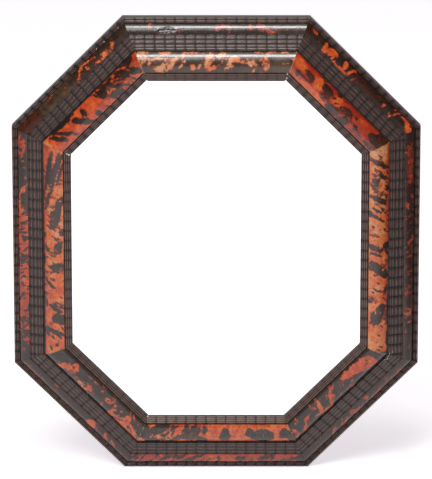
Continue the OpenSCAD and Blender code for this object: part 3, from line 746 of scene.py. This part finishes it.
# Each row gives a band's marks, the rail, and then what flecks takes
for marks, side, *scatter in (
        (OUTER_MARKS, "top_right", 30, 195, 12.8, 12, 1.6, -50, 1.6, 21),
        (OUTER_MARKS, "bottom", 14, 220, 12.8, 48, 3.0, -40, 1.5, 5),
        (OUTER_MARKS, "left", 22, 200, 12.8, 96, 1.5, 60, 1.5, 6),
        (OUTER_MARKS, "left", 20, 60, 12.8, 26, 2.4, -50, 1.7, 7),
        (OUTER_MARKS, "right", 16, 250, 12.8, 60, 2.4, 60, -0.3, 8),
        (OUTER_MARKS, "bottom_right", 20, 150, 9, 40, 2.2, -30, -0.7, 9),
        (OUTER_MARKS, "bottom_left", 20, 185, 9, 16, 1.8, 30, -0.6, 10),
        (INNER_MARKS, "top", 12, 190, 24, 20, 5.0, -45, -0.8, 15),
        (INNER_MARKS, "top_right", 20, 175, 24, 24, 3.0, -15, 0.2, 18),
        (INNER_MARKS, "bottom_right", 30, 170, 24, 34, 3.0, -50, -0.5, 19),
        (INNER_MARKS, "bottom_left", 20, 160, 24, 34, 3.0, 20, -0.5, 20),
        (INNER_MARKS, "top_left", 104, 168, 24, 40, 2.2, 45, 1.5, 11),
        (INNER_MARKS, "bottom", 136, 208, 22, 30, 2.6, -45, 1.5, 12),
        (INNER_MARKS, "right", 24, 290, 24, 34, 1.2, -50, 1.3, 13),
        (INNER_MARKS, "right", 34, 250, 24, 36, 3.4, -55, -0.3, 16),
        (INNER_MARKS, "left", 14, 290, 24, 40, 1.2, -50, 1.2, 14),
        (INNER_MARKS, "left", 120, 240, 24, 26, 3.2, -55, -0.3, 17)):
    marks[side][1].extend(flecks(*scatter))

# Tones of the ground, listed for each band of each rail: a base from -1 for deep red over 0
# for orange to 1 for peach and ochre, and strokes over it
OUTER_TONES = {
    "top": (-0.15, ((207, 6, 22, 10, 0, 0.5), (172, 5, 12, 8, 0, -0.3))),
    "top_right": (-0.5, ((50, 6, 36, 9, 0, 0.1), (168, 6, 24, 9, 0, 0.1))),
    "right": (-0.45, ((237, 7, 7, 7, 0, 0.1), (42, 7, 24, 7, 0, -0.6))),
    "bottom_right": (-0.6, ((100, 6, 50, 6, 0, -0.3),)),
    "bottom": (-0.35, ((112, 6, 26, 6, 0, 0.05),)),
    "bottom_left": (-0.5, ((75, 6, 12, 6, 0, 0.2), (40, 6, 14, 6, 0, 0.1))),
    "left": (-0.2, ((214, 6, 18, 6, 0, 0.4), (60, 6, 40, 8, 0, -0.4))),
    "top_left": (0.35, ((18, 5, 26, 14, 0, -0.95), (73, 6.4, 36, 14, 0, 0.75),
                        (128, 5, 30, 14, 0, 0.3))),
}
INNER_TONES = {
    "top": (0.75, ((20, 6, 14, 12, 0, 0.9), (111, 19, 9, 4, -28, 0.2), (192, 15, 14, 6, 0, 0.85))),
    "top_right": (-0.75, ((90, 0, 100, 2.5, 0, -1), (60, 22, 30, 4, 0, 0.1), (30, 8, 9, 6, 0, 0),
                          (63, 10, 9, 7, 0, 0.1), (96, 9, 8, 5, 0, 0), (138, 10, 12, 6, 0, -0.4),
                          (183, 12, 9, 12, 0, 0.3))),
    # On the right band the long stroke along the groove edge paints the ground redder and darker: painted
    # shade beside the groove
    "right": (0.42, ((24, 12, 12, 16, 0, 0.75), (150, -1, 170, 6, 0, -0.2))),
    "bottom_right": (0.0, ()),
    "bottom": (0.15, ((185, 8, 30, 14, 0, 0.35), (150, 20, 30, 6, 0, -0.1))),
    "bottom_left": (0.1, ((117, 5, 8, 6, 0, 0.6),)),
    # On the left band the long strokes along the groove edge paint the ground redder and darker: painted
    # shade beside the groove
    "left": (0.12, ((190, 12, 60, 16, 0, 0.4), (150, -1, 170, 5, 0, -0.3),
                    (262, 2, 34, 6, 0, -0.25))),
    "top_left": (-0.2, ((126, 13, 8, 6, 60, 0.5), (10, 10, 12, 14, 0, 0.4))),
}


# In mm: a stroke spreads a little past its size, its outline wanders over a short length, and
# its edge is soft
SPREAD = 0.45
WANDER, WANDER_LENGTH = 1.2, 5
SOFT_EDGE = 3.6


def painted(strokes, along, across, side):
    """The value at a place on a band, after all its strokes, with wandering outlines."""
    base, marks = strokes
    spot = Vector((along / WANDER_LENGTH, across / WANDER_LENGTH, side * 3.1))
    along += WANDER * noise.noise(spot)
    across += WANDER * noise.noise(spot + Vector((17.0, 5.0, 9.0)))
    value = base
    for x, y, long, wide, turn, paint in marks:
        if abs(along - x) > long + wide + 3:
            continue
        c, s = math.cos(math.radians(turn)), math.sin(math.radians(turn))
        forward = ((along - x) * c + (across - y) * s) / long
        sideways = (-(along - x) * s + (across - y) * c) / wide
        narrow = min(long, wide)
        inside = (1 - math.hypot(forward, sideways)) * narrow + SPREAD
        share = min(1.0, max(0.0, 0.5 + inside / min(SOFT_EDGE, 1.7 * narrow)))
        share = share * share * (3 - 2 * share)
        value += (paint - value) * share
    return value


def arc_points(outer, inner, crown, count):
    """Points of an arc between a band's edges that stands crown above the straight line."""
    a, b = Vector(outer), Vector(inner)
    chord = (b - a).length
    radius = crown / 2 + chord * chord / (8 * crown)
    outwards = Vector((a.y - b.y, b.x - a.x)) / chord
    centre = (a + b) / 2 - outwards * (radius - crown)
    first = math.atan2(a.y - centre.y, a.x - centre.x)
    last = math.atan2(b.y - centre.y, b.x - centre.x)
    made = []
    for n in range(count + 1):
        angle = first + (last - first) * n / count
        made.append(centre + radius * Vector((math.cos(angle), math.sin(angle))))
    return made


# Middle and half size of the old blister, in mm along clockwise and across the outer band
BLISTER_X, BLISTER_Y = 55, 8.9
BLISTER_LONG, BLISTER_WIDE = 12, 2.9


def blister(along, across):
    """How far the veneer lifts in the old blister on the top rail: a wrinkled ring with a crack
    through its middle."""
    forward, sideways = (along - BLISTER_X) / BLISTER_LONG, (across - BLISTER_Y) / BLISTER_WIDE
    sideways += 0.25 * noise.noise(Vector((along / 4, 3.0, 1.0)))
    out = math.hypot(forward, sideways)
    ring = math.exp(-((out - 1) * 5) ** 2)
    crack = math.exp(-(sideways * 4.5) ** 2) if abs(forward) < 0.85 else 0.0
    folds = 0.75 + 0.5 * noise.noise(Vector((along / 2.6, across / 1.5, 7.0)))
    return 0.42 * ring * folds - 0.5 * crack * folds


# How uneven the veneer lies, and a distance from the mitre at which no glue can show
SHELL_WAVE = 0.14
FAR_FROM_MITRE = 9.0


def shell_band(kind, i, outer, inner, crown, count, strokes, tones, seed):
    """A veneer over a convex ground, a little uneven, as glue and age leave it. Count is the
    number of steps across its face."""
    side = SIDES[i]
    node = kind + "_" + side
    face = arc_points(outer, inner, crown, count)
    rows = [(p.x, p.y, n / count) for n, p in enumerate(face)]
    rows += [(p.x, p.y - SHELL_T, n / count) for n, p in reversed(list(enumerate(face)))]
    length = rail_length(i)
    width = inner[0] - outer[0]
    blistered = node == "outer_shell_top"
    # Old glue shows only in the looser joints of the wide bands
    tight = 0.0 if kind == "inner_shell" and side != "bottom" else FAR_FROM_MITRE

    def shape(along, row):
        x, height, share = rows[row]
        if row > count:
            return height, {"pigment": 2.0, "tone": 0.0, "mitre": FAR_FROM_MITRE}
        clockwise, across = length - along, share * width
        found = {"pigment": painted(strokes[side], clockwise, across, i),
                 "tone": painted(tones[side], clockwise, across, i + 20),
                 "mitre": min(along, length - along) - x * MITRE_LEAN + tight}
        middle = 4 * share * (1 - share)
        height -= SHELL_WAVE * middle * (1 + noise.noise(Vector((along / 22, x / 12, seed + i))))
        if blistered:
            lift = blister(clockwise, across)
            height += lift
            found["pigment"] -= 1.5 * lift
        return height, found

    count_along = round(length / (0.5 if blistered else 1.1))
    columns = [length * n / count_along for n in range(count_along + 1)]
    rail_piece(node + "_veneer", i, columns, [r[0] for r in rows], shape,
               TORTOISESHELL, node, SHELL_GAP)


# Core rails


CORE_STEPS = 12


def core_rail(i):
    """A pine core: rounded at its outer edges, with the rebate for the plate and the ledge for
    the backboard."""
    under_outer = [(p.x, p.y - SHELL_T) for p in arc_points(
        (X_OUTER_SHELL, H_OUTER_SHELL), (X_MIDDLE, H_MIDDLE), OUTER_CROWN, CORE_STEPS)]
    under_inner = [(p.x, p.y - SHELL_T) for p in arc_points(
        (X_INNER_SHELL, H_GROOVE), (X_SIGHT, H_SIGHT), INNER_CROWN, CORE_STEPS)]
    chamfer = 0.3
    section = [(1.0, 0.0), (0.5, 0.15), (0.15, 0.5), (0.0, 1.0), (0.0, EDGE_H - 0.4),
               (0.1, EDGE_H - 0.1), (0.4, EDGE_H), (X_OUTER_SHELL, EDGE_H)]
    section += under_outer
    section += [(X_MIDDLE, H_MIDDLE - MIDDLE_RIPPLE_T), (X_GROOVE, H_GROOVE - MIDDLE_RIPPLE_T),
                (X_GROOVE, H_GROOVE - GROOVE_DEPTH), (X_INNER_SHELL, H_GROOVE - GROOVE_DEPTH)]
    section += under_inner
    section += [(X_SIGHT, H_GLASS), (X_REBATE, H_GLASS), (X_REBATE, BACKBOARD_T),
                (X_LEDGE, BACKBOARD_T), (X_LEDGE, chamfer), (X_LEDGE - chamfer, 0.0)]

    def shape(along, row):
        return section[row][1], {}

    length = rail_length(i)
    columns = [length * n / CORE_STEPS for n in range(CORE_STEPS + 1)]
    node = "core_rail_" + SIDES[i]
    rail_piece(node + "_pine", i, columns, [p[0] for p in section], shape,
               CORE_PINE, node, CORE_GAP, sharp=50)


PEARWOOD = ebonised_pearwood()
TORTOISESHELL = polished_tortoiseshell()
CORE_PINE = pine_stained_and_bare()
OUTER_STEPS, BLISTERED_STEPS, INNER_STEPS = 14, 40, 26
# The top sight moulding reaches a little further over the glass than the others
TOP_REACH = 1.7

for i, side in enumerate(SIDES):
    top = side == "top"
    core_rail(i)
    rippled_moulding("outer_ripple", i, (0, H_OUTER_SHELL), (X_OUTER_SHELL, H_OUTER_SHELL),
                     CLEAR_OUTER_REEDS if side in ("top_right", "right") else OUTER_REEDS,
                     (EDGE_H, EDGE_H), 1.0)
    shell_band("outer_shell", i, (X_OUTER_SHELL, H_OUTER_SHELL), (X_MIDDLE, H_MIDDLE),
               OUTER_CROWN, BLISTERED_STEPS if top else OUTER_STEPS, OUTER_MARKS, OUTER_TONES, 40.0)
    middle_reeds = MIDDLE_REEDS + (LAST_REEDS.get(side, LOW_LAST_REED),)
    rippled_moulding("middle_ripple", i, (X_MIDDLE, H_MIDDLE), (X_GROOVE, H_GROOVE),
                     TOP_MIDDLE_REEDS if top else middle_reeds,
                     (H_MIDDLE - MIDDLE_RIPPLE_T, H_GROOVE - MIDDLE_RIPPLE_T), 2.0)
    shell_band("inner_shell", i, (X_INNER_SHELL, H_GROOVE), (X_SIGHT, H_SIGHT), INNER_CROWN,
               INNER_STEPS, INNER_MARKS, INNER_TONES, 60.0)
    rippled_moulding("sight_ripple", i, (X_SIGHT, H_SIGHT),
                     (X_OPENING + (TOP_REACH if top else 0.0), H_OPENING),
                     HIGHLIT_SIGHT_REEDS if side == "bottom" else SIGHT_REEDS,
                     (H_GLASS, H_GLASS), 3.0)


# Glass, backboard and fittings

# The pin of each D-ring, from the middle of the back
PIN_Y = 2.85
PIN_X, PIN_Z = 224.9, 118.0
WIRE_R = 1.5
RING_BEND_R = 10.5
RING_LEG = 2.0
STRAP_W, STRAP_L, STRAP_T = 14.0, 46.0, 1.1
# The fold's radius round the pin, to the middle of the sheet
FOLD_R = 2.15
# How far below the pin the strap's two screws are
STRAP_DROPS = (24, 38)
SLOT_W = 0.9


def dress(node, material):
    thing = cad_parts[node]
    thing.data.materials.clear()
    thing.data.materials.append(material)


def hanger_strap(side, x):
    """Sheet brass folded round the ring's pin, with its lower end rounded off."""
    # Up the middle of the sheet, from its rounded end and then round the pin
    path = [(STRAP_T / 2, -STRAP_L + STRAP_W / 2 * (1 - math.cos(math.radians(a))))
            for a in range(6, 91, 7)]
    rounded = len(path)
    path += [(STRAP_T / 2, z) for z in (-32, -24, -16, -9, -5, -3.2)]
    path += [(STRAP_T / 2 + 0.05, -2.2), (STRAP_T / 2 + 0.11, -1.2)]
    turns = 22
    path += [(PIN_Y + FOLD_R * math.cos(math.pi - a), FOLD_R * math.sin(math.pi - a))
             for a in [math.radians(285) * n / turns for n in range(turns + 1)]]
    points = []
    for n, (y, z) in enumerate(path):
        before, after = Vector(path[max(0, n - 1)]), Vector(path[min(len(path) - 1, n + 1)])
        forward = (after - before).normalized()
        normal = Vector((-forward.y, forward.x))
        from_end = z + STRAP_L if n < rounded else STRAP_W
        half = STRAP_W / 2
        if from_end < half:
            half = math.sqrt(max(0.3, half * half - (half - from_end) ** 2))
        # The sheet's edges are broken by a quarter of a millimetre
        t, soft = STRAP_T / 2, 0.25
        for a, b in ((-half, -t + soft), (-half + soft, -t), (half - soft, -t), (half, -t + soft),
                     (half, t - soft), (half - soft, t), (-half + soft, t), (-half, t - soft)):
            points.append((x + a, y + normal.x * b, PIN_Z + z + normal.y * b))
    finish_piece("hanger_strap_%s_folded" % side, points, strip_faces(len(path), 8),
                 BRASS, "mirror", "hanger_strap_" + side, sharp=40)


def hanger_ring(side, x):
    """Round brass wire bent to a D: its straight side is the pin, in the strap's fold."""
    bend = 1.2
    path = [(-RING_BEND_R + bend + (2 * (RING_BEND_R - bend)) * n / 8, 0.0) for n in range(9)]
    path += [(RING_BEND_R - bend + bend * math.sin(a), -bend + bend * math.cos(a))
             for a in [math.radians(30 * n) for n in (1, 2, 3)]]
    path += [(RING_BEND_R * math.cos(a), -RING_LEG - RING_BEND_R * math.sin(a))
             for a in [math.pi * n / 40 for n in range(41)]]
    path += [(-RING_BEND_R + bend - bend * math.sin(a), -bend + bend * math.cos(a))
             for a in [math.radians(30 * n) for n in (3, 2, 1)]]
    points, around = [], 16
    for n, (px, pz) in enumerate(path):
        before, after = Vector(path[n - 1]), Vector(path[(n + 1) % len(path)])
        forward = (after - before).normalized()
        normal = Vector((-forward.y, forward.x))
        for k in range(around):
            a = math.tau * k / around
            out = WIRE_R * math.cos(a)
            points.append((x + px + normal.x * out, PIN_Y + WIRE_R * math.sin(a),
                           PIN_Z + pz + normal.y * out))
    finish_piece("hanger_ring_%s_bent" % side, points, strip_faces(len(path), around, closed=True),
                 BRASS, "ring_" + side, "hanger_ring_" + side, sharp=60)


def wood_screws(node, seats, profile, slot_top, slot_depth):
    """Turned steel screws. A profile is radii and depths from the middle of the head to the tip,
    and a seat is the screw's own axes, with Z going in and its slot along X."""
    name = node + "_turned"
    points, faces = [], []
    around = 28
    for seat in seats:
        first = len(points)
        for radius, depth in profile:
            for k in range(around):
                a = math.tau * k / around
                points.append(seat @ Vector((radius * math.cos(a), radius * math.sin(a), depth)))
        faces += [[first + n for n in face] for face in strip_faces(len(profile), around)]
    screws = finish_piece(name, points, faces, STEEL, "mirror", node, sharp=28)
    cutter = bmesh.new()
    for seat in seats:
        # The saw runs right across the head
        block = Matrix.Diagonal((2.4 * profile[2][0], SLOT_W, 2 * slot_depth, 1))
        bmesh.ops.create_cube(cutter, size=1, matrix=Matrix.Scale(MM, 4) @ seat
                              @ Matrix.Translation((0, 0, slot_top)) @ block)
    mesh = bpy.data.meshes.new(name + "_slots")
    cutter.to_mesh(mesh)
    cutter.free()
    slots = put_in_scene(name + "_slots", mesh)
    sawn = screws.modifiers.new("slots", "BOOLEAN")
    sawn.operation = "DIFFERENCE"
    sawn.object = slots
    bpy.context.view_layer.update()
    evaluated = screws.evaluated_get(bpy.context.evaluated_depsgraph_get())
    cut = bpy.data.meshes.new_from_object(evaluated)
    screws.modifiers.clear()
    screws.data = cut
    bpy.data.objects.remove(slots)


def board_screw_seats():
    """Countersunk screws through the middle of the ledge, at the middle of each side, each
    turned home to its own angle."""
    seats = []
    for i in range(8):
        place = Matrix.Translation((rail_length(i) / 2, (X_LEDGE + X_REBATE) / 2, 0))
        angle = Matrix.Rotation(math.radians(37 * i + 15), 4, "Z")
        # The rail's axes are in metres and a seat is in mm
        seats.append(Matrix.Scale(1 / MM, 4) @ rail_frame(i) @ Matrix.Scale(MM, 4) @ place @ angle)
    return seats


def strap_screw_seats():
    """Round-headed screws that lie on the straps, two to each."""
    seats = []
    for n, (x, drop) in enumerate((x, d) for x in (-PIN_X, PIN_X) for d in STRAP_DROPS):
        into_wood = Matrix.Rotation(math.radians(90), 4, "X")
        place = Matrix.Translation((x, STRAP_T, PIN_Z - drop))
        seats.append(place @ into_wood @ Matrix.Rotation(math.radians(48 * n + 20), 4, "Z"))
    return seats


BRASS = worn_metal("worn_sheet_brass", "#bd9a58", "#7a5f35", 0.28)
STEEL = worn_metal("dulled_steel", "#a19e99", "#5d564e", 0.34)
dress("mirror_glass", silvered_glass())
dress("glass_fillets", planed_wood("softwood_fillets", "#9c7448", "#c09a6a"))
dress("backboard", planed_pine_board())
dress("corner_splines", planed_wood("beech_splines", "#b08a5c", "#cfae82"))
for side, x in (("left", -PIN_X), ("right", PIN_X)):
    hanger_strap(side, x)
    hanger_ring(side, x)
DOME_R, DOME_H = 3, 1.5
dome = [(DOME_R * math.sin(math.radians(a)), -DOME_H * math.cos(math.radians(a)))
        for a in (1, 20, 40, 58, 74, 86)]
wood_screws("hanger_screws", strap_screw_seats(),
            dome + [(3.0, 0.0), (1.5, 0.1), (1.5, 7), (1.25, 11), (0.2, 13)], -DOME_H, 0.8)
wood_screws("backboard_screws", board_screw_seats(),
            [(0.2, 0.0), (2.2, 0.0), (3.3, 0.02), (3.5, 0.2), (1.75, 1.95), (1.75, 9), (1.4, 16),
             (0.2, 20)], 0.0, 0.7)


# Floor and surroundings


def add_floor():
    """A pale floor that the object's shadow falls on, and that eyes and gloss see as white."""
    mesh = bpy.data.meshes.new("floor")
    reach = 30.0
    corners = [(-reach, -reach, 0), (reach, -reach, 0), (reach, reach, 0), (-reach, reach, 0)]
    mesh.from_pydata(corners, [], [(0, 1, 2, 3)])
    floor = put_in_scene("floor", mesh, (0, 0, cad_low.z))
    material, tree = new_material("pale_floor")
    path = add(tree, "LightPath")
    # Gloss sees the white sheet end to the left and right, and the dim room beyond it
    place = add(tree, "TexCoord").outputs["Object"]
    aside = add(tree, "SeparateXYZ", {0: place}).outputs["X"]
    left = add(tree, "MapRange", {0: aside, 1: -0.9, 2: -2.2, 4: 0.6})
    right = add(tree, "MapRange", {0: aside, 1: 0.5, 2: 1.1, 4: 0.88})
    beyond = add(tree, "Math", {0: left, 1: right}, operation="MAXIMUM")
    dim = add(tree, "Math", {0: beyond, 1: path.outputs["Is Glossy Ray"]}, operation="MULTIPLY")
    white = add(tree, "Math", {0: 1.0, 1: dim}, operation="SUBTRACT")
    sight = add(tree, "Math", {0: path.outputs["Is Camera Ray"], 1: path.outputs["Is Glossy Ray"]},
                operation="MAXIMUM")
    seen = add(tree, "Math", {0: sight, 1: white}, operation="MULTIPLY")
    # Less glow round the object, so that its shadow shows
    away = add(tree, "VectorMath", {0: place}, operation="LENGTH")
    glow = add(tree, "MapRange", {0: away.outputs["Value"], 1: 0.5, 2: 1.6, 3: 0.6, 4: 0.75})
    strength = add(tree, "Math", {0: seen, 1: glow}, operation="MULTIPLY")
    light = add(tree, "Emission", {"Color": "#faf6ff", "Strength": strength})
    paper = add(tree, "Mix", {0: dim, 6: "#f4f3f2", 7: "#332c2a"}, data_type="RGBA")
    sheet = add(tree, "AddShader", {0: add(tree, "BsdfDiffuse", {"Color": paper}), 1: light})
    add(tree, "OutputMaterial", {"Surface": sheet})
    mesh.materials.append(material)


def add_room():
    """White to the eye. What the gloss sees is pale at the floor's edge, dim at the sides and
    overhead, and grey in front."""
    world = bpy.data.worlds.new("studio")
    bpy.context.scene.world = world
    world.use_nodes = True
    tree = world.node_tree
    tree.nodes.clear()
    way = add(tree, "SeparateXYZ", {0: add(tree, "TexCoord").outputs["Generated"]})
    sides = add(tree, "ValToRGB", {0: way.outputs["Z"]},
                stops=[(0.0, "#8c8684"), (0.06, "#5c5654"), (0.2, "#2e2a29"), (1.0, "#66625f")])
    forward = add(tree, "MapRange", {0: way.outputs["Y"], 1: -0.45, 2: -0.95})
    facing = add(tree, "Mix", {0: forward, 6: sides, 7: "#b6b1ae"}, data_type="RGBA")
    # The white backdrop stands behind the mirror, and the tops of the rails catch it
    low = add(tree, "MapRange", {0: way.outputs["Z"], 1: 0.35, 2: 0.6, 3: 1, 4: 0})
    behind = add(tree, "MapRange", {0: way.outputs["Y"], 1: 0.3, 2: 0.7})
    backdrop = add(tree, "Math", {0: low, 1: behind}, operation="MULTIPLY")
    walls = add(tree, "Mix", {0: backdrop, 6: facing, 7: "#fafafc"}, data_type="RGBA")
    path = add(tree, "LightPath").outputs["Is Camera Ray"]
    colour = add(tree, "Mix", {0: path, 6: walls, 7: "#ffffff"}, data_type="RGBA")
    background = add(tree, "Background", {"Color": colour})
    add(tree, "OutputWorld", {"Surface": background})


add_camera()
add_floor()
add_room()
add_lamp("key", (-0.9, -2.2, 2.4), (1.6, 1.6), 55)
add_lamp("overhead", (0.03, -0.68, 1.96), (0.42, 0.42), 8)
add_lamp("overhead_halo", (0.03, -0.68, 2.06), (0.6, 0.9), 8.5)
add_lamp("overhead_haze", (0.03, -0.73, 2.16), (0.9, 2.3), 6.5)

bpy.context.scene.view_settings.view_transform = "Standard"
